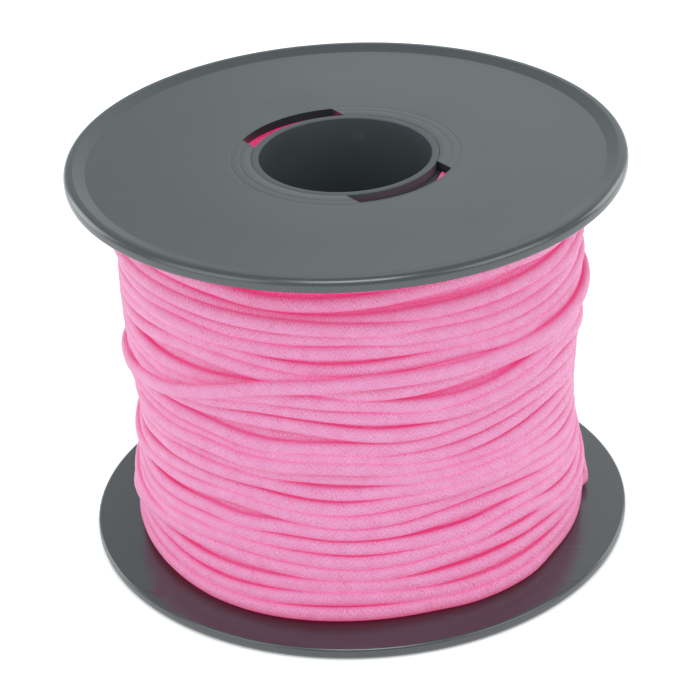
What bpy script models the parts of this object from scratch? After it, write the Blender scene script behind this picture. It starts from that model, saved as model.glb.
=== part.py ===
"""Small flanged spool of braided fishing line.

Two moulded flanges sit on the ends of one core tube, and the line is wound
between them. The spool's axis is the world Z axis and it stands on the rim
of its lower flange, so the origin is the centre of the circle it rests on.
Sizes are in metres.
"""

import math

import bmesh
import bpy
from mathutils import Matrix

# Driving dimensions of the spool body
FLANGE_RADIUS = 0.0375
SPOOL_HEIGHT = 0.0562
WEB_THICKNESS = 0.0012
FACE_RECESS = 0.0006
RIM_BEAD_WIDTH = 0.0026
RIM_CORNER_RADIUS = 0.0011
RIM_INNER_SLOPE = 0.0010
RIM_LOWER_CORNER = 0.0003
CORE_BORE_RADIUS = 0.01155
SPIGOT_WALL = 0.0008
BARREL_WALL = 0.0016
TUBE_EDGE_CHAMFER = 0.00015

# Notches in the flange, on opposite sides of the tube
NOTCH_DEPTH = 0.00235
NOTCH_WIDTH = 0.0152
NOTCH_AZIMUTH = math.radians(126.5)

# Winding of line, which leaves a margin of bare flange outside it
BARE_FLANGE_MARGIN = 0.0059
WAIST_DEPTH = 0.0010
WAIST_HEIGHT_SHARE = 0.36
WAIST_SPREAD_SHARE = 0.20
WINDING_CORNER_RADIUS = 0.0009

# Clearance between pieces that touch on the real spool
FIT_GAP = 0.0003

# Mesh resolution
FLANGE_STEPS = 96
TUBE_STEPS = 72
WINDING_STEPS = 72
ARC_STEPS = 4
NOTCH_ARC_STEPS = 10
WINDING_LEVELS = 10
MERGE_DISTANCE = 0.00001
SHARP_ANGLE = math.radians(35.0)
CUTTER_OVERSHOOT = 0.001

# Sizes that follow from the ones above
RIM_HEIGHT = WEB_THICKNESS + FACE_RECESS
SPIGOT_RADIUS = CORE_BORE_RADIUS + SPIGOT_WALL
BARREL_RADIUS = CORE_BORE_RADIUS + BARREL_WALL
FLANGE_BORE_RADIUS = SPIGOT_RADIUS + FIT_GAP
NOTCH_OUTER_RADIUS = FLANGE_BORE_RADIUS + NOTCH_DEPTH
WINDING_RADIUS = FLANGE_RADIUS - BARE_FLANGE_MARGIN
LOWER_INNER_FACE = RIM_HEIGHT
UPPER_INNER_FACE = SPOOL_HEIGHT - RIM_HEIGHT
TUBE_BOTTOM = FACE_RECESS
TUBE_TOP = SPOOL_HEIGHT - FACE_RECESS

PARTS_COLLECTION = "fishing_line_spool"
CUTTERS_COLLECTION = "cutters"


def clear_scene():
    """Remove every object, so that the script can be run again."""
    for old_object in list(bpy.data.objects):
        bpy.data.objects.remove(old_object, do_unlink=True)
    for old_collection in list(bpy.data.collections):
        bpy.data.collections.remove(old_collection)


def new_collection(name):
    """Make a collection under the scene's own."""
    collection = bpy.data.collections.new(name)
    bpy.context.scene.collection.children.link(collection)
    return collection


def plain_material(name, colour, roughness, metallic=0.0):
    """Make a Principled material from a linear colour."""
    material = bpy.data.materials.new(name)
    material.use_nodes = True
    shader = material.node_tree.nodes["Principled BSDF"]
    shader.inputs["Base Color"].default_value = (*colour, 1.0)
    shader.inputs["Roughness"].default_value = roughness
    shader.inputs["Metallic"].default_value = metallic
    material.diffuse_color = (*colour, 1.0)
    return material


def arc(centre, radius, start, end, steps):
    """Points of an arc in the (radius, height) plane, from start to end in degrees."""
    points = []
    for step in range(steps + 1):
        angle = math.radians(start + (end - start) * step / steps)
        points.append((centre[0] + radius * math.cos(angle), centre[1] + radius * math.sin(angle)))
    return points


def turned_object(name, profile, steps, collection, material):
    """Turn a closed profile of (radius, height) points about the Z axis."""
    mesh = bpy.data.meshes.new(name)
    outline = bmesh.new()
    corners = [outline.verts.new((radius, 0.0, height)) for radius, height in profile]
    for index, corner in enumerate(corners):
        outline.edges.new((corner, corners[(index + 1) % len(corners)]))
    outline.to_mesh(mesh)
    outline.free()
    turned = bpy.data.objects.new(name, mesh)
    collection.objects.link(turned)
    screw = turned.modifiers.new("Turn", "SCREW")
    screw.axis = "Z"
    screw.angle = math.tau
    screw.steps = steps
    screw.render_steps = steps
    screw.use_merge_vertices = True
    screw.merge_threshold = MERGE_DISTANCE
    screw.use_smooth_shade = True
    mesh.materials.append(material)
    return turned


def mesh_from_curve(curve_object, collection):
    """Replace a filled curve by a welded mesh object of the same name and place."""
    depsgraph = bpy.context.evaluated_depsgraph_get()
    mesh = bpy.data.meshes.new_from_object(curve_object.evaluated_get(depsgraph))
    welded = bmesh.new()
    welded.from_mesh(mesh)
    bmesh.ops.remove_doubles(welded, verts=welded.verts, dist=MERGE_DISTANCE)
    bmesh.ops.recalc_face_normals(welded, faces=welded.faces)
    welded.to_mesh(mesh)
    welded.free()
    name = curve_object.name
    place = curve_object.matrix_world.copy()
    bpy.data.objects.remove(curve_object, do_unlink=True)
    solid = bpy.data.objects.new(name, mesh)
    solid.matrix_world = place
    collection.objects.link(solid)
    return solid


def notch_cutter(collection):
    """A disc trimmed to the notch's width: what it takes from a flange is two notches."""
    half_angle = math.degrees(math.asin(NOTCH_WIDTH / 2 / NOTCH_OUTER_RADIUS))
    outline = arc((0.0, 0.0), NOTCH_OUTER_RADIUS, -half_angle, half_angle, NOTCH_ARC_STEPS)
    outline += arc((0.0, 0.0), NOTCH_OUTER_RADIUS, 180.0 - half_angle, 180.0 + half_angle, NOTCH_ARC_STEPS)
    curve = bpy.data.curves.new("notch_cutter", "CURVE")
    curve.dimensions = "2D"
    curve.fill_mode = "BOTH"
    curve.extrude = RIM_HEIGHT / 2 + CUTTER_OVERSHOOT
    spline = curve.splines.new("POLY")
    spline.points.add(len(outline) - 1)
    for point, (across, along) in zip(spline.points, outline):
        point.co = (across, along, 0.0, 1.0)
    spline.use_cyclic_u = True
    curve_object = bpy.data.objects.new("notch_cutter", curve)
    collection.objects.link(curve_object)
    curve_object.location = (0.0, 0.0, RIM_HEIGHT / 2)
    curve_object.rotation_euler = (0.0, 0.0, NOTCH_AZIMUTH)
    bpy.context.view_layer.update()
    cutter = mesh_from_curve(curve_object, collection)
    cutter.hide_render = True
    cutter.display_type = "WIRE"
    return cutter


def flange_profile():
    """Section of a flange whose inner face is at height 0 and whose rim bead points up.

    It runs from the bore out over the recessed face and the bead, down the
    outer wall, and back along the inner face.
    """
    crest_inner_radius = FLANGE_RADIUS - RIM_BEAD_WIDTH + RIM_INNER_SLOPE
    corner_centre = (FLANGE_RADIUS - RIM_CORNER_RADIUS, RIM_HEIGHT - RIM_CORNER_RADIUS)
    lower_centre = (FLANGE_RADIUS - RIM_LOWER_CORNER, RIM_LOWER_CORNER)
    profile = [
        (FLANGE_BORE_RADIUS, WEB_THICKNESS),
        (FLANGE_RADIUS - RIM_BEAD_WIDTH, WEB_THICKNESS),
        (crest_inner_radius, RIM_HEIGHT),
    ]
    profile += arc(corner_centre, RIM_CORNER_RADIUS, 90.0, 0.0, ARC_STEPS)
    profile += arc(lower_centre, RIM_LOWER_CORNER, 0.0, -90.0, ARC_STEPS // 2)
    profile.append((FLANGE_BORE_RADIUS, 0.0))
    return profile


def make_flange(name, inner_face, points_up, cutter, collection, material):
    """Turn a flange, notch it, and stand it with its inner face at the given height."""
    flange = turned_object(name, flange_profile(), FLANGE_STEPS, collection, material)
    notch = flange.modifiers.new("Notches", "BOOLEAN")
    notch.operation = "DIFFERENCE"
    notch.solver = "EXACT"
    notch.object = cutter
    bpy.context.view_layer.update()
    depsgraph = bpy.context.evaluated_depsgraph_get()
    mesh = bpy.data.meshes.new_from_object(flange.evaluated_get(depsgraph))
    mesh.name = name
    flange.modifiers.clear()
    flange.data = mesh
    mesh.shade_smooth()
    mesh.set_sharp_from_angle(angle=SHARP_ANGLE)
    if not points_up:
        mesh.transform(Matrix.Rotation(math.pi, 4, "X"))
    flange.location = (0.0, 0.0, inner_face)
    return flange


def tube_profile():
    """Section of the core tube: a barrel with a spigot for a flange at each end."""
    bevel = TUBE_EDGE_CHAMFER
    barrel_top = UPPER_INNER_FACE - FIT_GAP
    barrel_bottom = LOWER_INNER_FACE + FIT_GAP
    return [
        (CORE_BORE_RADIUS + bevel, TUBE_TOP),
        (SPIGOT_RADIUS, TUBE_TOP),
        (SPIGOT_RADIUS, barrel_top),
        (BARREL_RADIUS, barrel_top),
        (BARREL_RADIUS, barrel_bottom),
        (SPIGOT_RADIUS, barrel_bottom),
        (SPIGOT_RADIUS, TUBE_BOTTOM),
        (CORE_BORE_RADIUS + bevel, TUBE_BOTTOM),
        (CORE_BORE_RADIUS, TUBE_BOTTOM + bevel),
        (CORE_BORE_RADIUS, TUBE_TOP - bevel),
    ]


def make_core_tube(collection, material):
    """Turn the core tube that both flanges sit on."""
    tube = turned_object("core_tube", tube_profile(), TUBE_STEPS, collection, material)
    tube.data.shade_smooth()
    return tube


def winding_outer_radius(height_share):
    """Radius of the wound line at a share of its height, with a slight waist."""
    distance = (height_share - WAIST_HEIGHT_SHARE) / WAIST_SPREAD_SHARE
    return WINDING_RADIUS - WAIST_DEPTH * math.exp(-distance * distance)


def winding_profile():
    """Section of the wound line, which fills the space between the flanges."""
    bottom = LOWER_INNER_FACE + FIT_GAP
    top = UPPER_INNER_FACE - FIT_GAP
    inner_radius = BARREL_RADIUS + FIT_GAP
    corner = WINDING_CORNER_RADIUS
    upper_radius = winding_outer_radius(1.0)
    lower_radius = winding_outer_radius(0.0)
    profile = [(inner_radius, top)]
    profile += arc((upper_radius - corner, top - corner), corner, 90.0, 0.0, ARC_STEPS // 2)
    for level in range(1, WINDING_LEVELS):
        share = 1.0 - level / WINDING_LEVELS
        height = bottom + corner + (top - bottom - 2 * corner) * share
        profile.append((winding_outer_radius(share), height))
    profile += arc((lower_radius - corner, bottom + corner), corner, 0.0, -90.0, ARC_STEPS // 2)
    profile.append((inner_radius, bottom))
    return profile


def make_line_winding(collection, material):
    """Turn one closed ring of the wound line's outer shape."""
    winding = turned_object("line_winding", winding_profile(), WINDING_STEPS, collection, material)
    winding.data.shade_smooth()
    return winding


def main():
    """Build the spool."""
    clear_scene()
    parts = new_collection(PARTS_COLLECTION)
    cutters = new_collection(CUTTERS_COLLECTION)
    flange_plastic = plain_material("moulded_black_plastic", (0.045, 0.048, 0.052), 0.42)
    tube_plastic = plain_material("tube_black_plastic", (0.035, 0.038, 0.041), 0.5)
    pink_line = plain_material("pink_braided_line", (0.83, 0.12, 0.34), 0.7)
    cutter = notch_cutter(cutters)
    make_core_tube(parts, tube_plastic)
    make_flange("upper_flange", UPPER_INNER_FACE, True, cutter, parts, flange_plastic)
    make_flange("lower_flange", LOWER_INNER_FACE, False, cutter, parts, flange_plastic.copy())
    make_line_winding(parts, pink_line)


main()
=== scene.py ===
"""A small flanged spool of pink braided line on a pale studio floor.

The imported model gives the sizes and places. Each part of the spool is a class
that builds its own fine mesh and gives it its finish.
"""

import logging
import math
from dataclasses import dataclass
from enum import Enum

import bmesh
import bpy
import numpy as np
from bpy.types import ID, Material, Node, NodeSocket, NodeTree, Object
from mathutils import Matrix, Vector


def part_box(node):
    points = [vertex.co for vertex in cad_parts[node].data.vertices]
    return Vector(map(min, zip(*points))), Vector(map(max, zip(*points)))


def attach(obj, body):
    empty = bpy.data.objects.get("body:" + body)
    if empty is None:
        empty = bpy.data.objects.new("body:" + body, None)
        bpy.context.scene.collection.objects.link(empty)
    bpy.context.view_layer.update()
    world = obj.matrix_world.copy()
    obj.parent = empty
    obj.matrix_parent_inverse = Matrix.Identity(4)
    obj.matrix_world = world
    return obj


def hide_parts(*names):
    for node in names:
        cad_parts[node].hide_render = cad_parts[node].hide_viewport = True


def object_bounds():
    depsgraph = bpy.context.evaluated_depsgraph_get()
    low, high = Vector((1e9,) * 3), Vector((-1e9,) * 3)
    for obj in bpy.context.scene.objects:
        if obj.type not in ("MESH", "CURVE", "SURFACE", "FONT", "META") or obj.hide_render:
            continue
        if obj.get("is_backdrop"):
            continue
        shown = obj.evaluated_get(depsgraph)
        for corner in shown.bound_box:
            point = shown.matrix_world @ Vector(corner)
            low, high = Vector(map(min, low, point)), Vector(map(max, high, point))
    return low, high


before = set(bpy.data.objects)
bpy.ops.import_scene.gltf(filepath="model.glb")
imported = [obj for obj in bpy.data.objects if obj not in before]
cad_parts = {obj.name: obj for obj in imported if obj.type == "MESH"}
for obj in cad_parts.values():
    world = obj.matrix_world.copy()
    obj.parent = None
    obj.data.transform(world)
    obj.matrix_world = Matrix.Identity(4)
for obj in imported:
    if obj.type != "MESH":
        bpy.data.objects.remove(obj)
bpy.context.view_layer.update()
MM = 0.001

Point = tuple[float, float]
Colour = tuple[float, float, float]
Place = tuple[float, float, float]
Array = np.ndarray

log = logging.getLogger("spool")


# ---- Node helpers ----


class NodeWriter:
    """Writes nodes and links into one node tree.

    Args:
        tree: The tree of a material, a world or a group.
    """

    def __init__(self, tree: NodeTree) -> None:
        """Keep the tree that the nodes go into."""
        self.tree = tree

    def add(self, kind: str, **settings: object) -> Node:
        """Add a node.

        Args:
            kind: The node's type name without its ShaderNode prefix.
            **settings: Values for the node's own properties.

        Returns:
            The new node.
        """
        node = self.tree.nodes.new("ShaderNode" + kind)
        for name, value in settings.items():
            setattr(node, name, value)
        return node

    def feed(self, socket: NodeSocket, value: object) -> None:
        """Link a socket to an output, or set its value.

        Args:
            socket: The input socket.
            value: An output socket, or a number or colour.
        """
        if isinstance(value, NodeSocket):
            self.tree.links.new(value, socket)
        else:
            socket.default_value = value

    def math(
        self, operation: str, first: object, second: object = 0.0, third: object = 0.0
    ) -> NodeSocket:
        """Add a Math node.

        Args:
            operation: The node's operation.
            first: Its first input, a socket or a number.
            second: Its second input.
            third: Its third input.

        Returns:
            The node's output.
        """
        node = self.add("Math", operation=operation)
        for socket, value in zip(node.inputs, (first, second, third)):
            self.feed(socket, value)
        return node.outputs[0]

    def noise(self, vector: object, scale: float, detail: float, roughness: float = 0.5) -> NodeSocket:
        """Add a Noise Texture.

        Args:
            vector: Where it is read.
            scale: Its features in one unit.
            detail: Its octaves.
            roughness: The share that each octave keeps.

        Returns:
            Its value output, around 0.5.
        """
        node = self.add("TexNoise")
        self.feed(node.inputs["Vector"], vector)
        node.inputs["Scale"].default_value = scale
        node.inputs["Detail"].default_value = detail
        node.inputs["Roughness"].default_value = roughness
        return node.outputs["Fac"]

    def ramp(
        self, value: object, low: float, high: float, to_low: float = 0.0, to_high: float = 1.0
    ) -> NodeSocket:
        """Add a clamped, smooth Map Range node.

        Args:
            value: What it maps.
            low: The value that becomes to_low.
            high: The value that becomes to_high.
            to_low: The result at and below low.
            to_high: The result at and above high.

        Returns:
            The mapped value.
        """
        node = self.add("MapRange", interpolation_type="SMOOTHSTEP")
        names = ("From Min", "From Max", "To Min", "To Max")
        for name, number in zip(names, (low, high, to_low, to_high)):
            node.inputs[name].default_value = number
        self.feed(node.inputs["Value"], value)
        return node.outputs["Result"]

    def mix(self, share: object, first: object, second: object) -> NodeSocket:
        """Add a colour Mix node.

        Args:
            share: How much of the second colour.
            first: The first colour.
            second: The second colour.

        Returns:
            The mixed colour.
        """
        node = self.add("Mix", data_type="RGBA")
        self.feed(node.inputs["Factor"], share)
        self.feed(node.inputs[6], first)
        self.feed(node.inputs[7], second)
        return node.outputs[2]


def new_group(
    name: str, inputs: tuple[str, ...], outputs: tuple[str, ...]
) -> tuple[NodeWriter, Node, Node]:
    """Start a shader node group.

    Args:
        name: The group's name.
        inputs: Its inputs' names. One named Vector is a vector, the others are numbers.
        outputs: Its outputs' names, all numbers.

    Returns:
        A writer for the group, its input node and its output node.
    """
    tree = bpy.data.node_groups.new(name, "ShaderNodeTree")
    for way, labels in (("INPUT", inputs), ("OUTPUT", outputs)):
        for label in labels:
            kind = "NodeSocketVector" if label == "Vector" else "NodeSocketFloat"
            tree.interface.new_socket(name=label, in_out=way, socket_type=kind)
    return NodeWriter(tree), tree.nodes.new("NodeGroupInput"), tree.nodes.new("NodeGroupOutput")


class SurfaceEffects:
    """The node groups that the finishes share, each built once."""

    def __init__(self) -> None:
        """Build every group."""
        self.grain = self._moulded_grain()
        self.marks = self._handling_marks()
        self.weave = self._braid_weave()

    @staticmethod
    def _moulded_grain() -> NodeTree:
        """Fine grain and slow swells of a moulded surface.

        Returns:
            The group: Height for a bump, and Tone around 0.5 for colour.
        """
        write, source, sink = new_group(
            "Moulded grain", ("Vector", "Fine share"), ("Height", "Tone")
        )
        place = source.outputs["Vector"]
        fine = write.noise(place, 2600.0, 2.0, 0.6)
        swell = write.noise(place, 55.0, 2.0, 0.5)
        kept_fine = write.math("MULTIPLY", fine, source.outputs["Fine share"])
        height = write.math("ADD", kept_fine, write.math("MULTIPLY", swell, 0.8))
        write.feed(sink.inputs["Height"], height)
        cloud = write.math("MULTIPLY", write.noise(place, 34.0, 3.0, 0.55), 0.75)
        write.feed(sink.inputs["Tone"], write.math("MULTIPLY_ADD", fine, 0.25, cloud))
        return write.tree

    @staticmethod
    def _handling_marks() -> NodeTree:
        """Soft smudges and fine hairline scuffs from handling.

        Returns:
            The group: Smudge and Scuff masks from 0 to 1.
        """
        write, source, sink = new_group("Handling marks", ("Vector",), ("Smudge", "Scuff"))
        place = source.outputs["Vector"]
        patches = write.noise(place, 62.0, 4.0, 0.6)
        write.feed(sink.inputs["Smudge"], write.ramp(patches, 0.5, 0.72))
        stretched = write.add("Mapping")
        write.feed(stretched.inputs["Vector"], place)
        stretched.inputs["Rotation"].default_value = (0.0, 0.0, 0.6)
        stretched.inputs["Scale"].default_value = (70.0, 2400.0, 900.0)
        hairs = write.ramp(write.noise(stretched.outputs["Vector"], 1.0, 1.0, 0.4), 0.66, 0.74)
        sparse = write.ramp(write.noise(place, 90.0, 2.0), 0.52, 0.66)
        write.feed(sink.inputs["Scuff"], write.math("MULTIPLY", hairs, sparse))
        return write.tree

    @staticmethod
    def _braid_weave() -> NodeTree:
        """The over-and-under cells of a round braid.

        Along and Around count strand widths, so the cells lie on the two
        diagonals. Each strand goes over two others and under two.

        Returns:
            The group: Height, and Crown (the raised middle of each strand).
        """
        write, source, sink = new_group("Braid weave", ("Along", "Around"), ("Height", "Crown"))
        along, around = source.outputs["Along"], source.outputs["Around"]
        rising = write.math("ADD", along, around)
        falling = write.math("SUBTRACT", along, around)
        cells = write.math("ADD", write.math("FLOOR", rising), write.math("FLOOR", falling))
        on_top = write.math("LESS_THAN", write.math("FLOORED_MODULO", cells, 4.0), 1.5)
        humps = [
            write.math("SINE", write.math("MULTIPLY", write.math("FRACT", family), math.pi))
            for family in (rising, falling)
        ]
        across, lengthwise = (
            write.math("MULTIPLY_ADD", on_top, write.math("SUBTRACT", over, under), under)
            for over, under in (humps, humps[::-1])
        )
        crown = write.math("SQRT", across)
        bowed = write.math("MULTIPLY_ADD", lengthwise, 0.35, 0.65)
        write.feed(sink.inputs["Height"], write.math("MULTIPLY", crown, bowed))
        write.feed(sink.inputs["Crown"], crown)
        return write.tree


def place_group(write: NodeWriter, group: NodeTree, **values: object) -> Node:
    """Put a node group into a tree.

    Args:
        write: The writer of the tree.
        group: The group.
        **values: Its inputs by name, with an underscore for a space.

    Returns:
        The group's node.
    """
    node = write.add("Group", node_tree=group)
    for name, value in values.items():
        write.feed(node.inputs[name.replace("_", " ")], value)
    return node


# ---- Finishes ----


def opaque(colour: Colour) -> tuple[float, float, float, float]:
    """A colour with its alpha."""
    return (*colour, 1.0)


def start_material(name: str) -> tuple[Material, NodeWriter, Node]:
    """Start a material.

    Args:
        name: Its name.

    Returns:
        The material, a writer for its nodes, and its shader.
    """
    material = bpy.data.materials.new(name)
    material.use_nodes = True
    return material, NodeWriter(material.node_tree), material.node_tree.nodes["Principled BSDF"]


def add_bump(write: NodeWriter, shader: Node, height: object, depth: float) -> None:
    """Bump a shader's normal.

    Args:
        write: The writer of its tree.
        shader: The shader.
        height: The height, from 0 to about 1.
        depth: What a height of 1 stands for, in metres.
    """
    bump = write.add("Bump")
    bump.inputs["Strength"].default_value = 1.0
    bump.inputs["Distance"].default_value = depth
    write.feed(bump.inputs["Height"], height)
    write.feed(shader.inputs["Normal"], bump.outputs["Normal"])


@dataclass(frozen=True)
class MouldedPlastic:
    """Satin black plastic as it leaves the mould.

    Args:
        name: The material's name.
        colour: Its linear colour.
        worn_colour: The colour of its scuffs.
        roughness: Its usual roughness.
        index: Its index of refraction.
        grain_depth: The depth of its grain, in metres.
        fine_share: How much of the fine grain shows in its height.
        tone_spread: How much lighter and darker its colour gets.
        tone_roughness: How much rougher its light patches are.
        smudge_roughness: How much rougher its smudges are.
        scuff_share: How much of the worn colour its scuffs show.
    """

    name: str
    colour: Colour
    worn_colour: Colour
    roughness: float
    index: float = 1.5
    grain_depth: float = 0.004 * MM
    fine_share: float = 0.5
    tone_spread: float = 0.1
    tone_roughness: float = 0.05
    smudge_roughness: float = 0.06
    scuff_share: float = 0.35

    def material(self, effects: SurfaceEffects) -> Material:
        """Make the material.

        Args:
            effects: The shared node groups.

        Returns:
            The new material.
        """
        material, write, shader = start_material(self.name)
        place = write.add("TexCoord").outputs["Object"]
        grain = place_group(write, effects.grain, Vector=place, Fine_share=self.fine_share)
        marks = place_group(write, effects.marks, Vector=place)
        tone = write.ramp(grain.outputs["Tone"], 0.3, 0.7)
        darker, lighter = (
            opaque(tuple(scale * channel for channel in self.colour))
            for scale in (1.0 - self.tone_spread, 1.0 + self.tone_spread)
        )
        scuffs = write.math("MULTIPLY", marks.outputs["Scuff"], self.scuff_share)
        marked = write.mix(scuffs, write.mix(tone, darker, lighter), opaque(self.worn_colour))
        write.feed(shader.inputs["Base Color"], marked)
        smudges = marks.outputs["Smudge"]
        smudged = write.math("MULTIPLY_ADD", smudges, self.smudge_roughness, self.roughness)
        rough = write.math("MULTIPLY_ADD", tone, self.tone_roughness, smudged)
        write.feed(shader.inputs["Roughness"], rough)
        shader.inputs["IOR"].default_value = self.index
        add_bump(write, shader, grain.outputs["Height"], self.grain_depth)
        return material


@dataclass(frozen=True)
class BraidedLine:
    """Soft braided synthetic line, which reads its own UV map.

    The map holds the length along the line, in metres, and the share round
    it. The share of TOP is the middle of the side that faces out.

    Args:
        name: The material's name.
        crown_colour: The colour of the top of each strand.
        painted_shade_colour: The darker colour of the painted shade between strands and on the line's
            sides.
        painted_glow_colour: The colour of a painted glow, a constant emission that stands in for the
            dye's daylight fluorescence and brightens the line's shaded grooves and undersides.
        glow: How much of the painted glow.
        soft_depth: How far light travels inside it, in metres.
        soft_colour: How far each colour travels, against soft_depth.
        carriers_around: Strands side by side round the line.
        pick_length: The length of one strand width along the line, in metres.
        relief: The height of a strand, in metres.
        sheen_tint: The colour of its fuzz.
        slack_along: How unevenly the braid lies lengthwise, in picks.
        slack_around: How unevenly it lies round the line, in carriers.
        fibre_share: How much single fibres change the colour.
        patch_share: How much worn and fresh patches change it.
        side: The shares from the top between which its colour turns to the painted shade colour, a
            painted shade down the sides where neighbouring turns meet.
    """

    name: str
    crown_colour: Colour
    painted_shade_colour: Colour
    painted_glow_colour: Colour
    glow: float = 0.0
    soft_depth: float = 0.9 * MM
    soft_colour: Colour = (1.0, 0.28, 0.5)
    carriers_around: int = 8
    pick_length: float = 0.45 * MM
    relief: float = 0.11 * MM
    sheen_tint: Colour = (1.0, 0.75, 0.88)
    slack_along: float = 1.6
    slack_around: float = 0.9
    fibre_share: float = 0.5
    patch_share: float = 1.6
    side: Point = (0.08, 0.25)

    TOP = 0.25

    def material(self, effects: SurfaceEffects) -> Material:
        """Make the material.

        Args:
            effects: The shared node groups.

        Returns:
            The new material.
        """
        material, write, shader = start_material(self.name)
        laid = write.add("SeparateXYZ")
        write.feed(laid.inputs[0], write.add("UVMap", uv_map="lay").outputs["UV"])
        place = write.add("TexCoord").outputs["Object"]
        uneven = write.math("SUBTRACT", write.noise(place, 700.0, 2.0), 0.5)
        along = write.math("DIVIDE", laid.outputs["X"], self.pick_length)
        around = write.math("MULTIPLY", laid.outputs["Y"], self.carriers_around)
        weave = place_group(
            write,
            effects.weave,
            Along=write.math("MULTIPLY_ADD", uneven, self.slack_along, along),
            Around=write.math("MULTIPLY_ADD", uneven, self.slack_around, around),
        )
        fibres = write.noise(place, 5200.0, 2.0, 0.6)
        patches = write.noise(place, 520.0, 3.0, 0.6)
        crown = weave.outputs["Crown"]
        for source, share in ((fibres, self.fibre_share), (patches, self.patch_share)):
            crown = write.math("MULTIPLY_ADD", write.math("SUBTRACT", source, 0.5), share, crown)
        # Painted shade: the grooves between strands and the line's sides get the darker painted shade
        # colour. The fibres and patches add random tone.
        painted_shade_and_tone = write.math("MULTIPLY_ADD", write.ramp(crown, 0.2, 1.15), 0.7, 0.3)
        from_top = write.math("ABSOLUTE", write.math("SUBTRACT", laid.outputs["Y"], self.TOP))
        lit = write.math("MULTIPLY", painted_shade_and_tone, write.ramp(from_top, *self.side, 1.0, 0.12))
        colours = opaque(self.painted_shade_colour), opaque(self.crown_colour)
        write.feed(shader.inputs["Base Color"], write.mix(lit, *colours))
        write.feed(shader.inputs["Roughness"], write.math("MULTIPLY_ADD", fibres, 0.2, 0.36))
        shader.subsurface_method = "BURLEY"
        constants = {
            "Specular IOR Level": 0.5,
            "Subsurface Weight": 0.7,
            "Subsurface Radius": self.soft_colour,
            "Subsurface Scale": self.soft_depth,
            "Sheen Weight": 0.15,
            "Sheen Roughness": 0.5,
            "Sheen Tint": opaque(self.sheen_tint),
            # Painted glow: a constant emission, though the line is no lamp.
            "Emission Color": opaque(self.painted_glow_colour),
            "Emission Strength": self.glow,
        }
        for label, value in constants.items():
            shader.inputs[label].default_value = value
        height = write.math("MULTIPLY_ADD", fibres, 0.25, weave.outputs["Height"])
        add_bump(write, shader, height, self.relief)
        return material


@dataclass(frozen=True)
class FloorPaint:
    """Matt pale studio floor, lit a little from below."""

    name: str = "studio_floor"
    colour: Colour = (0.94, 0.94, 0.94)
    glow: float = 0.3

    def material(self) -> Material:
        """Make the material.

        Returns:
            The new material.
        """
        material, _, shader = start_material(self.name)
        shader.inputs["Base Color"].default_value = opaque(self.colour)
        shader.inputs["Roughness"].default_value = 0.9
        shader.inputs["Specular IOR Level"].default_value = 0.1
        shader.inputs["Emission Color"].default_value = (1.0, 1.0, 1.0, 1.0)
        shader.inputs["Emission Strength"].default_value = self.glow
        return material


# ---- Mesh helpers ----


@dataclass(frozen=True)
class Corner:
    """A corner of a section.

    Args:
        radius: Its distance from the spool's axis, in metres.
        height: Its height.
        rounding: The radius of the rounding in it.
        steps: How many pieces the rounding has.
    """

    radius: float
    height: float
    rounding: float = 0.0
    steps: int = 4


def rounded(corners: list[Corner]) -> list[Point]:
    """Round the corners of a closed section.

    Args:
        corners: The corners in order.

    Returns:
        The (radius, height) points of the rounded section.
    """
    points = []
    for index, corner in enumerate(corners):
        here = Vector((corner.radius, corner.height))
        if not corner.rounding:
            points.append(tuple(here))
            continue
        before, after = corners[index - 1], corners[(index + 1) % len(corners)]
        back = (Vector((before.radius, before.height)) - here).normalized()
        on = (Vector((after.radius, after.height)) - here).normalized()
        half = math.acos(max(-1.0, min(1.0, back.dot(on)))) / 2
        reach = corner.rounding / math.tan(half)
        centre = here + (back + on).normalized() * (corner.rounding / math.sin(half))
        start, end = here + back * reach - centre, here + on * reach - centre
        turn = math.atan2(start.x * end.y - start.y * end.x, start.dot(end))
        for step in range(corner.steps + 1):
            angle = turn * step / corner.steps
            cosine, sine = math.cos(angle), math.sin(angle)
            points.append(
                (
                    centre.x + cosine * start.x - sine * start.y,
                    centre.y + sine * start.x + cosine * start.y,
                )
            )
    return points


def circle_part(radius: float, start: float, end: float, steps: int) -> list[Point]:
    """The (x, y) points of an arc round the axis, between two directions in degrees."""
    turns = [math.radians(start + (end - start) * step / steps) for step in range(steps + 1)]
    return [(radius * math.cos(turn), radius * math.sin(turn)) for turn in turns]


def new_object(name: str, data: ID) -> Object:
    """Make an object and link it to the scene.

    Args:
        name: Its name.
        data: Its mesh, light or camera.

    Returns:
        The new object.
    """
    made = bpy.data.objects.new(name, data)
    bpy.context.scene.collection.objects.link(made)
    return made


def object_from(name: str, shape: bmesh.types.BMesh) -> Object:
    """Make an object of a shape.

    Args:
        name: The name of the object and its mesh.
        shape: The shape, which is used up.

    Returns:
        The new object.
    """
    mesh = bpy.data.meshes.new(name)
    shape.to_mesh(mesh)
    shape.free()
    return new_object(name, mesh)


def lathe(name: str, profile: list[Point], steps: int) -> Object:
    """Turn a closed profile about the Z axis.

    Args:
        name: The object's name.
        profile: Its (radius, height) points, down the outer side first.
        steps: How many steps a whole turn has.

    Returns:
        The new object, linked to the scene.
    """
    shape = bmesh.new()
    rings = []
    for step in range(steps):
        angle = math.tau * step / steps
        cosine, sine = math.cos(angle), math.sin(angle)
        rings.append([shape.verts.new((r * cosine, r * sine, z)) for r, z in profile])
    for ring, following in zip(rings, rings[1:] + rings[:1]):
        for index in range(len(profile)):
            nearby = (index + 1) % len(profile)
            shape.faces.new((ring[index], ring[nearby], following[nearby], following[index]))
    bmesh.ops.recalc_face_normals(shape, faces=shape.faces)
    return object_from(name, shape)


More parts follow.
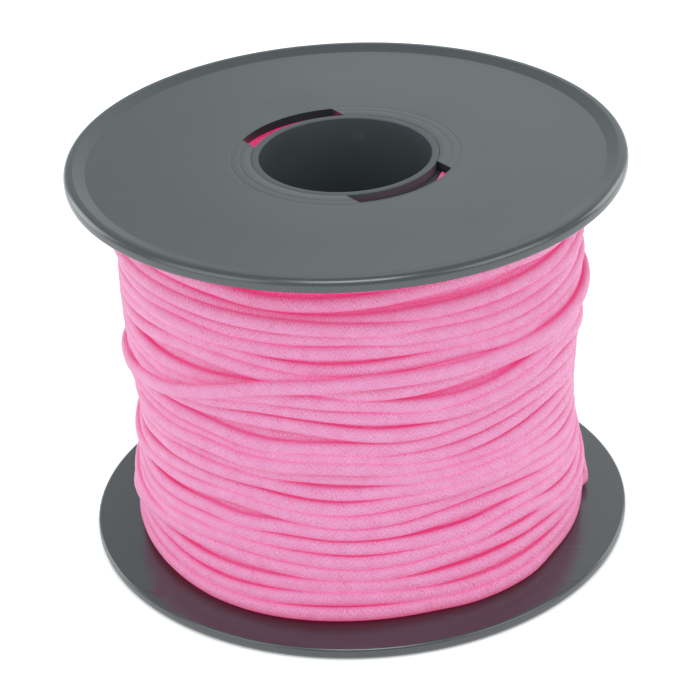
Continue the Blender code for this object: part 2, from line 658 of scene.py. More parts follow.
def finish_edges(piece: Object, sharp_degrees: float) -> None:
    """Shade a piece smooth, apart from the edges that turn by more than an angle."""
    piece.data.shade_smooth()
    piece.data.set_sharp_from_angle(angle=math.radians(sharp_degrees))


def apply_modifiers(piece: Object) -> None:
    """Replace a piece's mesh by its evaluated mesh.

    Args:
        piece: The piece.
    """
    depsgraph = bpy.context.evaluated_depsgraph_get()
    mesh = bpy.data.meshes.new_from_object(piece.evaluated_get(depsgraph))
    mesh.name = piece.name
    piece.modifiers.clear()
    piece.data = mesh


# ---- Flanges and tube ----


class Facing(Enum):
    """Which way a flange's rim bead points."""

    UP = 1
    DOWN = -1


@dataclass
class Flange:
    """One moulded flange with its rim bead, hub rings and two notches.

    Args:
        node: The node that it replaces.
        facing: Which way its bead points.
        web: The thickness of the disc inside the bead.
        bead_width: The width of the bead with its inner slope.
        inner_slope: The width of the slope from the recessed face to the crest.
        corner: The radius of the bead's outer corner.
        lower_corner: The radius where the wall meets the inner face.
        crest_rounding: The radius between the slope and the crest.
        bore_radius: The radius of the hole round the tube.
        edge: The rounding of the hole's edges.
        notch_depth: How far the notches reach out from the bore.
        notch_width: Their width.
        notch_azimuth: The direction of the first notch, in degrees.
        hub_rings: The radii of the two fine grooves in the face.
        ring_width: Their width.
        ring_depth: Their depth.
        ring_rounding: The rounding of their edges, and of their bottom.
        foot_rounding: The rounding where the bead rises from the face.
        nick: The two ends of a nick in the inner face, if it has one, each
            as a radius in millimetres and a direction in degrees.
        nick_width: The nick's width.
        nick_depths: Its depth at its two ends.
        steps: How many steps a whole turn has.
    """

    node: str
    facing: Facing
    web: float = 1.2 * MM
    bead_width: float = 2.85 * MM
    inner_slope: float = 1.6 * MM
    corner: float = 0.9 * MM
    lower_corner: float = 0.45 * MM
    crest_rounding: float = 0.2 * MM
    bore_radius: float = 12.57 * MM
    edge: float = 0.06 * MM
    notch_depth: float = 2.43 * MM
    notch_width: float = 15.2 * MM
    notch_azimuth: float = 126.5
    hub_rings: tuple[float, ...] = (14.15 * MM, 15.35 * MM)
    ring_width: float = 0.34 * MM
    ring_depth: float = 0.03 * MM
    ring_rounding: Point = (0.06 * MM, 0.04 * MM)
    foot_rounding: float = 0.35 * MM
    nick: tuple[Point, ...] = ()
    nick_width: float = 0.32 * MM
    nick_depths: Point = (0.2 * MM, 0.08 * MM)
    steps: int = 256

    # The angle in degrees from which an edge is sharp, and how far a cutter
    # reaches past the disc.
    SHARP = 30.0
    OVERLAP = 1.0 * MM

    def profile(self, radius: float, height: float) -> list[Point]:
        """The flange's section, with its inner face at height 0.

        Args:
            radius: The flange's radius.
            height: Its height from the inner face to the bead's crest.

        Returns:
            The (radius, height) points, from the bore outwards.
        """
        edge, web = self.edge, self.web
        corners = [Corner(self.bore_radius, web, edge, 3)]
        lip, groove = self.ring_rounding
        half = self.ring_width / 2
        for ring in self.hub_rings:
            corners += [
                Corner(ring - half, web, lip, 2),
                Corner(ring, web - self.ring_depth, groove, 2),
                Corner(ring + half, web, lip, 2),
            ]
        foot = radius - self.bead_width
        corners += [
            Corner(0.75 * foot, web),
            Corner(foot, web, self.foot_rounding, 4),
            Corner(foot + self.inner_slope, height, self.crest_rounding, 5),
            Corner(radius, height, self.corner, 10),
            Corner(radius, 0.0, self.lower_corner, 5),
            Corner(0.75 * foot, 0.0),
            Corner(self.bore_radius, 0.0, edge, 2),
        ]
        return rounded(corners)

    def _cut_notches(self, piece: Object) -> None:
        """Cut the two notches beside the tube.

        Args:
            piece: The turned flange.
        """
        outer = self.bore_radius + self.notch_depth
        half_angle = math.degrees(math.asin(self.notch_width / 2 / outer))
        outline = circle_part(outer, -half_angle, half_angle, 24)
        outline += circle_part(outer, 180.0 - half_angle, 180.0 + half_angle, 24)
        shape = bmesh.new()
        base = shape.faces.new([shape.verts.new((x, y, -self.OVERLAP)) for x, y in outline])
        raised = bmesh.ops.extrude_face_region(shape, geom=[base])
        moved = [item for item in raised["geom"] if isinstance(item, bmesh.types.BMVert)]
        bmesh.ops.translate(shape, verts=moved, vec=(0.0, 0.0, self.web + 2 * self.OVERLAP))
        bmesh.ops.recalc_face_normals(shape, faces=shape.faces)
        turn = Matrix.Rotation(math.radians(self.notch_azimuth), 3, "Z")
        bmesh.ops.rotate(shape, verts=shape.verts, matrix=turn)
        self._cut(piece, shape)

    def _cut_nick(self, piece: Object) -> None:
        """Cut the small nick in the inner face near the edge.

        Args:
            piece: The flange.
        """
        ends = [Vector(circle_part(radius * MM, turn, turn, 1)[0]) for radius, turn in self.nick]
        along = (ends[1] - ends[0]).normalized()
        across = Vector((-along.y, along.x)) * self.nick_width / 2
        above = -self.nick_depths[0]
        shape = bmesh.new()
        near, far = (shape.verts.new((*end, depth)) for end, depth in zip(ends, self.nick_depths))
        near_left, near_right, far_left, far_right = (
            shape.verts.new((*(end + side), above)) for end in ends for side in (-across, across)
        )
        for face in (
            (near_left, near_right, far_right, far_left),
            (near, near_left, far_left, far),
            (near_right, near, far, far_right),
            (near_right, near_left, near),
            (far_left, far_right, far),
        ):
            shape.faces.new(face)
        bmesh.ops.recalc_face_normals(shape, faces=shape.faces)
        self._cut(piece, shape)

    @staticmethod
    def _cut(piece: Object, shape: bmesh.types.BMesh) -> None:
        """Cut a shape out of a piece.

        Args:
            piece: The piece.
            shape: The shape, which is used up.
        """
        cutter = object_from("cutter", shape)
        cut = piece.modifiers.new("Cut", "BOOLEAN")
        cut.solver = "EXACT"
        cut.object = cutter
        apply_modifiers(piece)
        bpy.data.objects.remove(cutter, do_unlink=True)

    def build(self, material: Material) -> Object:
        """Build the flange where its node stands.

        Args:
            material: Its finish.

        Returns:
            The finished piece.
        """
        low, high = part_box(self.node)
        radius, height = high[0], high[2] - low[2]
        piece = lathe(self.node + "_moulding", self.profile(radius, height), self.steps)
        self._cut_notches(piece)
        if self.nick:
            self._cut_nick(piece)
        if self.facing is Facing.UP:
            piece.data.transform(Matrix.Translation((0.0, 0.0, low[2])))
        else:
            turned = Matrix.Rotation(math.pi, 4, "X")
            piece.data.transform(Matrix.Translation((0.0, 0.0, high[2])) @ turned)
        finish_edges(piece, self.SHARP)
        piece.data.materials.clear()
        piece.data.materials.append(material)
        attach(piece, "root")
        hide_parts(self.node)
        return piece


@dataclass
class CoreTube:
    """The tube in the middle, with a spigot at each end.

    Args:
        node: The node that it replaces.
        bore_radius: The radius of its bore.
        spigot_radius: The radius of its spigots.
        spigot_length: Their length.
        edge: The rounding at its ends.
        steps: How many steps a whole turn has.
    """

    node: str = "core_tube"
    bore_radius: float = 11.55 * MM
    spigot_radius: float = 12.54 * MM
    spigot_length: float = 1.5 * MM
    edge: float = 0.12 * MM
    steps: int = 192

    # The angle in degrees from which an edge is sharp.
    SHARP = 40.0

    def profile(self, barrel: float, bottom: float, top: float) -> list[Point]:
        """The tube's section.

        Args:
            barrel: The radius between the flanges.
            bottom: The height of its lower end.
            top: The height of its upper end.

        Returns:
            The (radius, height) points, from the top of the bore outwards.
        """
        bore, spigot, edge = self.bore_radius, self.spigot_radius, self.edge
        corners = [
            Corner(bore, top, edge, 4),
            Corner(spigot, top, edge / 2, 3),
            Corner(spigot, top - self.spigot_length),
            Corner(barrel, top - self.spigot_length),
            Corner(barrel, bottom + self.spigot_length),
            Corner(spigot, bottom + self.spigot_length),
            Corner(spigot, bottom, edge / 2, 3),
            Corner(bore, bottom, edge, 4),
        ]
        corners += [Corner(bore, bottom + (top - bottom) * share) for share in (0.2, 0.4, 0.6, 0.8)]
        return rounded(corners)

    def build(self, material: Material) -> Object:
        """Build the tube where its node stands.

        Args:
            material: Its finish.

        Returns:
            The finished piece.
        """
        low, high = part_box(self.node)
        piece = lathe("core_tube_moulding", self.profile(high[0], low[2], high[2]), self.steps)
        finish_edges(piece, self.SHARP)
        piece.data.materials.append(material)
        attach(piece, "root")
        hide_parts(self.node)
        return piece


# ---- Line ----


class Disturbance(Enum):
    """What a disturbance does to the turns round its middle."""

    SHIFT = "moves them together"
    PART = "spreads them, so that a gap opens"


@dataclass(frozen=True)
class Stray:
    """A place where the outermost turns leave their even spacing.

    Args:
        kind: What it does.
        height: The height of its middle, in millimetres.
        azimuth: The direction of its middle, in degrees.
        spread: How far it reaches round the spool, in degrees.
        reach: How far it reaches up and down, in millimetres.
        rise: How far it moves the turns, in millimetres.
    """

    kind: Disturbance
    height: float
    azimuth: float
    spread: float
    reach: float
    rise: float


@dataclass
class LineWinding:
    """The whole line as one tube, wound layer on layer.

    The inner layers are even helices. The outer ones wander, and each of
    their turns rests on whatever already lies beneath it. A last stretch
    crosses over the outermost layer.

    Args:
        width: The width of the line as it lies, in metres.
        thickness: Its thickness.
        even_layers: How many even layers there are.
        turns: How many turns one layer has.
        even_segments: The points in one even turn.
        columns: The points in one turn of the outermost layer.
        thinning: Which points each loose layer keeps, one in this many.
        looseness: How much each loose layer wanders, from 0 to 1.
        loose_depth: The depth of the loose layers together.
        firm_width: The share of the width that doesn't give way.
        firm_thickness: The share of the thickness that doesn't give way.
        squash: The share that is left of a rise above the layer.
        wander: How far a loose turn wanders up and down.
        sway: How far neighbouring turns sway together.
        squareness: The exponent of the firm part's section, 2 for an ellipse.
        cell: The size of a cell of the height map.
        gap: The gap between the first and last turns and the flanges.
        waist_depth: How far the winding is drawn in at its waist.
        waist_share: The waist's height, as a share of the winding's.
        waist_spread: How far the waist reaches, as such a share.
        flare: How far the lowest turns stand out all the way round.
        bulge: How much further they stand out in one direction.
        bulge_azimuth: That direction, in degrees.
        bulge_spread: How far the bulge reaches round, in degrees.
        flare_reach: How far the flare and the bulge reach upwards.
        seed: The seed of the wandering.
        strays: The places where the outermost layer is uneven.
        crossing: The last stretch, as degrees past its start and heights
            in millimetres.
    """

    width: float = 2.12 * MM
    thickness: float = 1.42 * MM
    even_layers: int = 11
    turns: int = 26
    even_segments: int = 12
    columns: int = 160
    thinning: tuple[int, ...] = (4, 3, 1)
    looseness: tuple[float, ...] = (0.15, 0.5, 1.0)
    loose_depth: float = 3.45 * MM
    wander: float = 0.28 * MM
    sway: float = 0.5 * MM
    squareness: float = 2.3
    firm_width: float = 0.72
    firm_thickness: float = 0.82
    squash: float = 0.75
    cell: float = 0.1 * MM
    gap: float = 0.03 * MM
    waist_depth: float = 1.25 * MM
    waist_share: float = 0.36
    waist_spread: float = 0.20
    flare: float = 0.3 * MM
    bulge: float = 1.9 * MM
    bulge_azimuth: float = -110.0
    bulge_spread: float = 36.0
    flare_reach: float = 3.2 * MM
    seed: int = 11
    strays: tuple[Stray, ...] = ()
    crossing: tuple[Point, ...] = ()

    # The wandering: waves in the shared sway, turns between two knots of the
    # noise, its scale to a spread of 1, and how fast it sets in at the ends.
    WAVES = 10
    KNOT_TURNS = 0.16
    NOISE_SCALE = 1.45
    SET_IN = 12.0
    # The resting: how far a turn may sink below its layer, in thicknesses, the
    # passes that pull it taut, and the samples that it is softened over.
    SINK = 0.15
    PASSES = 80
    SOFTENING = 2
    CROSSING_SOFTENING = 9
    # The last stretch dives this many thicknesses within this many degrees.
    TUCK_DEPTH = 1.6
    TUCK_DEGREES = 12.0
    # The unrolled map: the segments in a hidden row, the parts of its height
    # for shown and hidden rows, the margins beside and between rows, and the
    # size of the end caps, their spacing and the place of the first.
    CROWDED = 240
    SHOWN_PART, HIDDEN_PART = 0.75, 0.22
    SIDE_MARGIN, ROW_MARGIN = 0.002, 0.03
    CAP_SIZE, CAP_STEP, FIRST_CAP = 0.01, 0.05, (0.02, 0.98)

    def __post_init__(self) -> None:
        """Read the winding's room from its node, and start the random draws."""
        self.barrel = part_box("core_tube")[1][0]
        self.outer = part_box("line_winding")[1][0]
        self.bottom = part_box("lower_flange")[1][2]
        self.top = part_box("upper_flange")[0][2]
        self.low_turn = self.bottom + self.width / 2 + self.gap
        self.high_turn = self.top - self.width / 2 - self.gap
        self.random = np.random.default_rng(self.seed)

    # -- the even layers --

    def _even_rows(self) -> Array:
        """The even inner layers.

        Returns:
            Rows of turned angle, radius and height.
        """
        step = (self.outer - self.loose_depth - self.barrel) / self.even_layers
        count = self.turns * self.even_segments
        share = np.arange(count) / count
        rows = []
        for layer in range(self.even_layers):
            climb = share if layer % 2 == 0 else 1.0 - share
            heights = self.low_turn + (self.high_turn - self.low_turn) * climb
            settled = np.clip(share * self.turns, 0.0, 1.0)
            radii = self.barrel + step * (layer - 0.5 + (settled if layer else np.ones(count)))
            angles = (layer + share) * self.turns * math.tau
            rows.append(np.column_stack([angles, radii, heights]))
        return np.vstack(rows)

    # -- heights of the loose layers --

    def _smooth_noise(self, count: int, spacing: float) -> Array:
        """Smooth one-dimensional noise.

        Args:
            count: How many samples it has.
            spacing: The samples between two random values.

        Returns:
            Values with a spread of about 1.
        """
        knots = self.random.standard_normal(int(count / spacing) + 4)
        at = np.arange(count) / spacing
        first = at.astype(int)
        part = at - first
        weights = (
            (1 - part) ** 3 / 6,
            (3 * part**3 - 6 * part**2 + 4) / 6,
            (-3 * part**3 + 3 * part**2 + 3 * part + 1) / 6,
            part**3 / 6,
        )
        blend = sum(weight * knots[first + index] for index, weight in enumerate(weights))
        return self.NOISE_SCALE * blend

    def _shared_sway(self, azimuths: Array, shares: Array) -> Array:
        """A slow wave over the winding that neighbouring turns share.

        Args:
            azimuths: The azimuth of each sample.
            shares: Its height, from 0 at the bottom to 1 at the top.

        Returns:
            Values with a spread of about 1.
        """
        total = np.zeros(len(azimuths))
        for _ in range(self.WAVES):
            around = self.random.integers(1, 6)
            upward = self.random.uniform(-6.0, 6.0)
            phase = self.random.uniform(0, math.tau)
            total += np.sin(around * azimuths + math.tau * upward * shares + phase)
        return total / math.sqrt(self.WAVES / 2)

    def _loose_heights(self, angles: Array, upward: bool, looseness: float) -> Array:
        """The heights of one loose layer.

        Args:
            angles: The turned angle of each sample.
            upward: Whether the layer runs up the spool.
            looseness: How much it wanders, from 0 to 1.

        Returns:
            The height of each sample.
        """
        count = len(angles)
        share = np.linspace(0.0, 1.0, count)
        if not upward:
            share = 1.0 - share
        heights = self.low_turn + (self.high_turn - self.low_turn) * share
        room = np.clip(np.minimum(share, 1.0 - share) * self.SET_IN, 0.0, 1.0)
        sway = self.sway * self._shared_sway(angles, share)
        wander = self.wander * self._smooth_noise(count, self.columns * self.KNOT_TURNS)
        return self._kept_inside(heights + looseness * room * (sway + wander))

    def _kept_inside(self, heights: Array) -> Array:
        """The heights, kept between the flanges."""
        return np.clip(heights, self.low_turn, self.high_turn)

    def _disturbed(self, angles: Array, heights: Array) -> Array:
        """Let the strays move the outermost layer.

        Args:
            angles: The turned angle of each sample.
            heights: Its height.

        Returns:
            The new heights.
        """
        moved = heights.copy()
        degrees = np.degrees(angles)
        for stray in self.strays:
            away = (degrees - stray.azimuth + 180.0) % 360.0 - 180.0
            here = np.sort(moved[np.abs(away) < 180.0 / self.columns])
            between = (here[1:] + here[:-1]) / 2
            middle = stray.height * MM
            if stray.kind is Disturbance.PART:
                middle = between[np.argmin(np.abs(between - middle))]
            above = (moved - middle) / (stray.reach * MM)
            weight = np.exp(-((away / stray.spread) ** 2) - above**2)
            if stray.kind is Disturbance.PART:
                weight *= 2.0 * np.tanh(3.0 * above)
            moved += stray.rise * MM * weight
        return self._kept_inside(moved)

    # -- radii of the loose layers --

    def _window(self) -> tuple[Array, Array]:
        """The firm part of the line, seen on the height map.

        Returns:
            The cells that it covers, and its half thickness over each.
        """
        reach = int(self.firm_width * self.width / 2 / self.cell)
        steps = np.arange(-reach, reach + 1)
        share = np.abs(steps * self.cell) / (self.firm_width * self.width / 2)
        fall = (1.0 - share**self.squareness) ** (1.0 / self.squareness)
        return steps, self.firm_thickness * self.thickness / 2 * fall

    def _cells(self, surface: Array, angles: Array, heights: Array) -> tuple[Array, Array]:
        """The cells of the height map under each sample.

        Args:
            surface: The map.
            angles: The turned angle of each sample.
            heights: Its height.

        Returns:
            The columns and the cells.
        """
        steps, _ = self._window()
        columns, cells = surface.shape
        column = np.round(angles / math.tau * columns).astype(int) % columns
        cell = np.round((heights - self.bottom) / self.cell).astype(int)
        return column[:, None], np.clip(cell[:, None] + steps[None, :], 0, cells - 1)

    def _lay(self, surface: Array, angles: Array, radii: Array, heights: Array) -> None:
        """Raise the height map, in place, where a stretch of line lies."""
        crowns = radii[:, None] + self._window()[1][None, :]
        np.maximum.at(surface, self._cells(surface, angles, heights), crowns)

    def _pulled_taut(self, rest: Array, step: float) -> Array:
        """Pull a stretch of line taut over what it rests on.

        A taut line runs straight between the places where it touches, and
        along a straight run the inverse of the radius follows a cosine.

        Args:
            rest: The radius at which each sample rests.
            step: The angle between two samples.

        Returns:
            The radius of each sample.
        """
        ceiling = 1.0 / rest
        inverse = ceiling.copy()
        share = 1.0 / (2.0 * math.cos(step))
        for _ in range(self.PASSES):
            inverse[1:-1] = np.minimum(ceiling[1:-1], share * (inverse[:-2] + inverse[2:]))
        return 1.0 / inverse

    def _resting(self, surface: Array, angles: Array, heights: Array) -> Array:
        """Lay a long stretch of line on the height map, half a turn at a time.

        Args:
            surface: The map, raised where the line lies.
            angles: The turned angle of each sample.
            heights: Its height.

        Returns:
            The radius of each sample.
        """
        half = self._window()[1]
        radii = np.zeros(len(angles))
        level = np.median(surface) + half.max()
        stride, margin = self.columns // 2, self.columns // 6
        for start in range(0, len(angles), stride):
            stop = min(start + stride, len(angles))
            ahead = slice(start, min(stop + margin, len(angles)))
            under = surface[self._cells(surface, angles[ahead], heights[ahead])]
            rest = (under + half[None, :]).max(axis=1)
            before = radii[max(0, start - margin) : start]
            rest -= (1.0 - self.squash) * np.maximum(rest - level, 0.0)
            rest = np.maximum(rest, level - self.SINK * self.thickness)
            taut = self._pulled_taut(np.concatenate([before, rest]), math.tau / self.columns)
            radii[start:stop] = taut[len(before) : len(before) + stop - start]
            self._lay(surface, angles[start:stop], radii[start:stop], heights[start:stop])
        return radii

    @staticmethod
    def _softened(values: Array, reach: int) -> Array:
        """The values, smoothed over a reach of samples to each side."""
        kernel = np.hanning(2 * reach + 3)[1:-1]
        return np.convolve(np.pad(values, reach, mode="edge"), kernel / kernel.sum(), mode="valid")

    def _loose_rows(self, even: Array) -> Array:
        """The loose layers, and the last stretch that crosses over them.

        Args:
            even: The rows of the even layers.

        Returns:
            Rows of turned angle, radius and height.
        """
        cells = int(round((self.top - self.bottom) / self.cell)) + 1
        surface = np.full((self.columns, cells), self.barrel)
        under = even[-2 * self.turns * self.even_segments :]
        fine = np.arange(under[0, 0], under[-1, 0], math.tau / self.columns)
        self._lay(surface, fine, *(np.interp(fine, under[:, 0], under[:, i]) for i in (1, 2)))
        step = math.tau / self.columns
        first = self.even_layers * self.turns * math.tau
        rows = []
        for layer, (every, looseness) in enumerate(zip(self.thinning, self.looseness)):
            angles = first + np.arange(self.turns * self.columns) * step
            heights = self._loose_heights(angles, (self.even_layers + layer) % 2 == 0, looseness)
            if layer == len(self.thinning) - 1:
                heights = self._disturbed(angles, heights)
            radii = self._softened(self._resting(surface, angles, heights), self.SOFTENING)
            rows.append(np.column_stack([angles, radii, heights])[::every])
            first += self.turns * math.tau
        crowns = (rows[-1][:, 1] + self.thickness / 2) / MM
        log.info("outermost layer: crowns %.2f to %.2f mm", crowns.min(), crowns.max())
        if self.crossing:
            rows.append(self._crossing_rows(surface, first, rows[-1][-1, 2]))
        return np.vstack(rows)

    def _crossing_rows(self, surface: Array, first: float, height: float) -> Array:
        """The last stretch, which crosses the outermost layer and ends tucked in.

        Args:
            surface: The height map under it.
            first: The turned angle where it starts.
            height: The height where it starts.

        Returns:
            Rows of turned angle, radius and height.
        """
        marks = np.array([(0.0, height / MM), *self.crossing])
        angles = first + np.arange(0.0, math.radians(marks[-1, 0]), math.tau / self.columns)
        heights = np.interp(np.degrees(angles - first), marks[:, 0], marks[:, 1]) * MM
        heights = self._kept_inside(self._softened(heights, self.CROSSING_SOFTENING))
        radii = self._softened(self._resting(surface, angles, heights), self.SOFTENING)
        tucked = np.clip((angles - angles[-1]) / math.radians(self.TUCK_DEGREES) + 1.0, 0.0, 1.0)
        radii -= self.TUCK_DEPTH * self.thickness * tucked**2
        return np.column_stack([angles, radii, heights])

    # -- the mesh --

    def route(self) -> Array:
        """The route of the whole line.

        Returns:
            Rows of turned angle, radius and height.
        """
        even = self._even_rows()
        rows = np.vstack([even, self._loose_rows(even)])
        share = (rows[:, 2] - self.bottom) / (self.top - self.bottom)
        waist = self.waist_depth * np.exp(-(((share - self.waist_share) / self.waist_spread) ** 2))
        depth = (rows[:, 1] - self.barrel) / (self.outer - self.barrel)
        rows[:, 1] -= waist * np.clip(depth, 0.0, 1.0)
        away = (np.degrees(rows[:, 0]) - self.bulge_azimuth + 180.0) % 360.0 - 180.0
        flare = self.flare + self.bulge * np.exp(-((away / self.bulge_spread) ** 2))
        flare *= np.exp(-(((rows[:, 2] - self.bottom) / self.flare_reach) ** 2))
        rows[:, 1] += flare * np.clip(depth, 0.0, 1.0) ** 2
        return rows

    def _section(self) -> Array:
        """The line's section, finer on the side that faces out.

        Returns:
            Rows of sideways and outward offsets, and the share round the line.
        """
        degrees = np.array([0.0, 30.0, 60.0, 90.0, 120.0, 150.0, 180.0, 240.0, 300.0])
        cosine, sine = np.cos(np.radians(degrees)), np.sin(np.radians(degrees))
        across = cosine * self.width / 2
        outward = sine * self.thickness / 2
        loop = np.column_stack([across, outward])
        lengths = np.linalg.norm(np.roll(loop, -1, axis=0) - loop, axis=1)
        share = np.concatenate([[0.0], np.cumsum(lengths)]) / lengths.sum()
        return np.column_stack([across, outward, share[:-1]])

    def build(self, material: Material) -> Object:
        """Args:
            material: Its finish.

        Returns:
            The finished piece.
        """
        rows = self.route()
        angles, radii, heights = rows.T
        centres = np.column_stack([radii * np.cos(angles), radii * np.sin(angles), heights])
        tangents = np.gradient(centres, axis=0)
        tangents /= np.linalg.norm(tangents, axis=1, keepdims=True)
        radial = np.column_stack([np.cos(angles), np.sin(angles), np.zeros(len(angles))])
        sideways = np.cross(tangents, radial)
        sideways /= np.linalg.norm(sideways, axis=1, keepdims=True)
        outward = np.cross(sideways, tangents)
        section = self._section()
        rings = (
            centres[:, None, :]
            + section[None, :, 0:1] * sideways[:, None, :]
            + section[None, :, 1:2] * outward[:, None, :]
        )
        lengths = np.concatenate([[0.0], np.cumsum(np.linalg.norm(np.diff(centres, axis=0), axis=1))])
        covered = (self.even_layers + len(self.thinning) - 1) * self.turns
        hidden = int(np.searchsorted(angles, covered * math.tau))
        piece = self._tube(rings, lengths, section[:, 2], hidden)
        piece.data.materials.append(material)
        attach(piece, "root")
        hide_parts("line_winding")
        log.info("line: %.2f m in %d points", lengths[-1], len(rows))
        return piece

    def _unrolled(self, segments: int, hidden: int, turned: Array) -> Array:
        """Lay the line's surface out in rows that don't overlap.

        The outermost turns get a row each, and the hidden ones share rows.

        Args:
            segments: How many pieces the line has lengthwise.
            hidden: How many of them lie under the outermost layer.
            turned: The share round the line of the corners of each side.

        Returns:
            The place of every face corner, the caps last.
        """
        shown_rows = math.ceil((segments - hidden) / self.columns)
        hidden_rows = math.ceil(hidden / self.CROWDED)
        index = np.arange(segments)
        shown = index >= hidden
        size = np.where(shown, self.columns, self.CROWDED)
        order = np.where(shown, index - hidden, index)
        height = np.where(shown, self.SHOWN_PART / shown_rows, self.HIDDEN_PART / hidden_rows)
        low = np.where(shown, 0.0, self.SHOWN_PART) + (order // size) * height
        span = 1.0 - 2 * self.SIDE_MARGIN
        start = self.SIDE_MARGIN + span * (order % size) / size
        end = start + span / size
        lengthwise = np.stack([start, start, end, end], axis=-1)[:, None, :]
        within = self.ROW_MARGIN + (1.0 - 2 * self.ROW_MARGIN) * turned[None]
        upward = low[:, None, None] + within * height[:, None, None]
        rows = self._places(lengthwise, upward)
        triangle = self.CAP_SIZE * np.array([(0.0, 0.0), (1.0, 0.0), (0.0, 1.0)])
        corners = self.FIRST_CAP[0] + self.CAP_STEP * np.arange(2 * len(turned))
        caps = triangle[None] + self._places(corners, self.FIRST_CAP[1])[:, None, :]
        return np.vstack([rows, caps.reshape(-1, 2)])

    @staticmethod
    def _places(along: Array, across: Array | float) -> Array:
        """Rows of two coordinates, broadcast against each other."""
        return np.stack(np.broadcast_arrays(along, across), axis=-1).reshape(-1, 2)

    def _tube(self, rings: Array, lengths: Array, share: Array, hidden: int) -> Object:
        """Skin the rings, close the ends and map the surface.

        Args:
            rings: The points of each ring.
            lengths: The length of line before each ring.
            share: The share round the line of each point of a ring.
            hidden: How many rings lie under the outermost layer.

        Returns:
            The new object.
        """
        count, sides = rings.shape[:2]
        last = (count - 1) * sides
        side = np.arange(sides)
        nearby = (side + 1) % sides
        corners = np.stack([side, nearby, sides + nearby, sides + side], axis=-1)
        quads = np.arange(0, last, sides)[:, None, None] + corners[None]
        start_tip, end_tip = count * sides, count * sides + 1
        faces = quads.reshape(-1, 4).tolist()
        edges = list(zip(side.tolist(), nearby.tolist()))
        faces += [[start_tip, after, here] for here, after in edges]
        faces += [[end_tip, last + here, last + after] for here, after in edges]
        points = np.vstack([rings.reshape(-1, 3), rings[0].mean(axis=0), rings[-1].mean(axis=0)])
        mesh = bpy.data.meshes.new("braided_line")
        mesh.from_pydata(points.tolist(), [], faces)
        around = np.append(share, 1.0)
        turned = np.stack([around[:-1], around[1:], around[1:], around[:-1]], axis=-1)
        along = np.stack([lengths[:-1], lengths[:-1], lengths[1:], lengths[1:]], axis=-1)
        laid = np.vstack([self._places(along[:, None, :], turned[None]), np.zeros((6 * sides, 2))])
        unrolled = self._unrolled(count - 1, hidden, turned)
        for name, places in (("lay", laid), ("OFBake", unrolled)):
            layer = mesh.uv_layers.new(name=name)
            layer.data.foreach_set("uv", places.astype(np.float32).ravel())
        mesh.update()
        mesh.shade_smooth()
        return new_object("braided_line", mesh)


NICK = ((36.8, 144.6), (36.0, 140.2))
STRAYS = (
    Stray(Disturbance.SHIFT, 27.5, -116.0, 12.0, 3.0, -1.2),
    Stray(Disturbance.PART, 51.0, -112.0, 12.0, 2.0, 0.25),
    Stray(Disturbance.PART, 38.6, -128.0, 16.0, 2.5, 0.45),
    Stray(Disturbance.PART, 31.0, -108.0, 14.0, 2.0, 0.4),
    Stray(Disturbance.PART, 24.2, -132.0, 12.0, 2.0, 0.3),
    Stray(Disturbance.PART, 14.2, -62.0, 16.0, 2.0, 0.4),
    Stray(Disturbance.PART, 17.5, -122.0, 8.0, 2.0, 0.4),
    Stray(Disturbance.PART, 35.5, -60.0, 18.0, 2.0, 0.4),
    Stray(Disturbance.PART, 10.2, -47.0, 10.0, 2.0, 0.4),
    Stray(Disturbance.PART, 49.8, -57.0, 16.0, 2.0, 0.2),
)
CROSSING = (
    (30.0, 6.0),
    (150.0, 27.0),
    (205.0, 31.0),
    (225.0, 33.5),
    (250.0, 38.0),
    (275.0, 38.7),
    (330.0, 38.0),
    (440.0, 36.0),
    (470.0, 35.5),
)


# ---- Studio ----


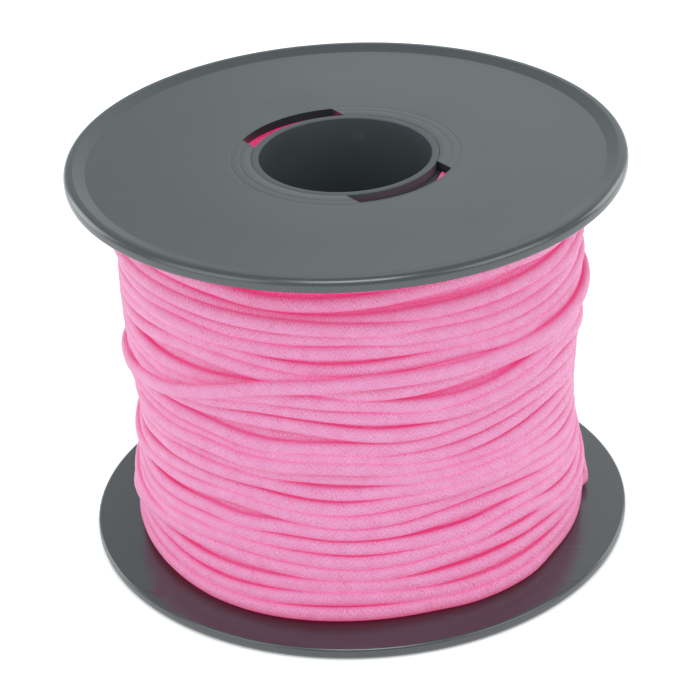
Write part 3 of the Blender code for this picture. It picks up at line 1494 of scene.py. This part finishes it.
@dataclass
class Studio:
    """The pale floor, the soft lights and the camera.

    Args:
        distance: From the camera to the spool's middle, in metres.
        elevation: The camera's height above the horizon, in degrees.
        roll: How far the camera leans, in degrees.
        aim_right: How far right of the picture's middle the spool stands, in degrees.
        aim_up: How far above it the spool stands.
        lens: The focal length, in millimetres.
        sensor: The sensor's width, in millimetres.
        sky: The colour of the light from all round.
        world_strength: Its strength.
        floor_radius: The floor's radius, in metres.
        floor_drop: How far it lies below the spool.
        light_aim: What the soft lights face.
    """

    distance: float = 0.36759
    elevation: float = 28.847
    roll: float = -2.7125
    aim_right: float = 0.0815
    aim_up: float = 0.327
    lens: float = 136.97
    sensor: float = 36.0
    sky: Colour = (0.89, 0.975, 1.0)
    world_strength: float = 0.7
    floor_radius: float = 6.0
    floor_drop: float = 0.02 * MM
    light_aim: Place = (0.0, 0.0, 0.03)

    def camera(self) -> Object:
        """Set up the camera.

        Returns:
            The camera.
        """
        low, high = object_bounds()
        middle = (low + high) / 2
        tilt = math.radians(self.elevation)
        position = middle + self.distance * Vector((0.0, -math.cos(tilt), math.sin(tilt)))
        forward = (middle - position).normalized()
        right = Vector((1.0, 0.0, 0.0))
        up = right.cross(forward)
        lean = math.radians(self.roll)
        cosine, sine = math.cos(lean), math.sin(lean)
        right, up = cosine * right + sine * up, cosine * up - sine * right
        forward -= math.tan(math.radians(self.aim_right)) * right
        forward -= math.tan(math.radians(self.aim_up)) * up
        forward.normalize()
        right = (right - right.dot(forward) * forward).normalized()
        up = right.cross(forward)
        data = bpy.data.cameras.new("camera")
        data.lens = self.lens
        data.sensor_width = self.sensor
        camera = new_object("camera", data)
        turn = Matrix((right, up, -forward)).transposed().to_4x4()
        camera.matrix_world = Matrix.Translation(position) @ turn
        bpy.context.scene.camera = camera
        return camera

    def floor(self) -> Object:
        """Lay the floor.

        Returns:
            The floor.
        """
        shape = bmesh.new()
        bmesh.ops.create_circle(shape, cap_ends=True, segments=64, radius=self.floor_radius)
        floor = object_from("studio_floor", shape)
        floor.location = (0.0, 0.0, -self.floor_drop)
        floor.data.materials.append(FloorPaint().material())
        floor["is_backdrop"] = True
        return floor

    def soft_light(self, name: str, place: Place, size: float, power: float) -> Object:
        """Hang a square soft light that faces the spool.

        Args:
            name: Its name.
            place: Where it hangs, in metres.
            size: Its side.
            power: Its power, in watts.

        Returns:
            The light.
        """
        data = bpy.data.lights.new(name, "AREA")
        data.shape = "SQUARE"
        data.size = size
        data.energy = power
        light = new_object(name, data)
        light.location = place
        facing = Vector(self.light_aim) - Vector(place)
        light.rotation_euler = facing.to_track_quat("-Z", "Y").to_euler()
        return light

    def light(self) -> None:
        """Light the spool from above, both sides and the front."""
        world = bpy.data.worlds.new("studio")
        bpy.context.scene.world = world
        world.use_nodes = True
        backdrop = world.node_tree.nodes["Background"]
        backdrop.inputs["Color"].default_value = opaque(self.sky)
        backdrop.inputs["Strength"].default_value = self.world_strength
        for name, place, size, power in (
            ("back_light", (0.4, 1.2, 0.75), 1.0, 0.75),
            ("back_left_light", (-0.8, 0.5, 0.25), 0.5, 1.7),
            ("back_right_light", (0.8, 0.5, 0.28), 0.5, 1.6),
            ("front_left_light", (-0.78, -0.5, 0.55), 0.75, 2.3),
            ("front_right_light", (0.82, -0.4, 0.6), 0.7, 2.4),
            ("overhead_light", (0.0, -0.45, 1.0), 0.5, 3.2),
        ):
            self.soft_light(name, place, size, power)
        bpy.context.scene.view_settings.view_transform = "Standard"


def main() -> None:
    """Build the spool and its studio."""
    logging.basicConfig(level=logging.INFO, format="%(name)s: %(message)s")
    effects = SurfaceEffects()
    flange_plastic = MouldedPlastic(
        "flange_plastic", (0.024, 0.030, 0.033), (0.08, 0.088, 0.092), 0.20, 1.8
    )
    tube_plastic = MouldedPlastic(
        "tube_plastic", (0.054, 0.064, 0.069), (0.09, 0.098, 0.104), 0.38
    )
    # The pink braid's second colour is painted shade between strands and on the sides; its third
    # colour and 0.55 are a painted glow.
    line_finish = BraidedLine(
        "pink_braid", (0.215, 0.28, 0.425), (0.20, 0.155, 0.285), (1.0, 0.03, 0.17), 0.55
    )
    studio = Studio()
    studio.camera()
    for part, finish in (
        (Flange("upper_flange", Facing.UP), flange_plastic),
        (Flange("lower_flange", Facing.DOWN, nick=NICK), flange_plastic),
        (CoreTube(), tube_plastic),
        (LineWinding(strays=STRAYS, crossing=CROSSING), line_finish),
    ):
        piece = part.build(finish.material(effects))
        log.info("%s: %d faces", piece.name, len(piece.data.polygons))
    studio.floor()
    studio.light()


if __name__ == "__main__":
    main()
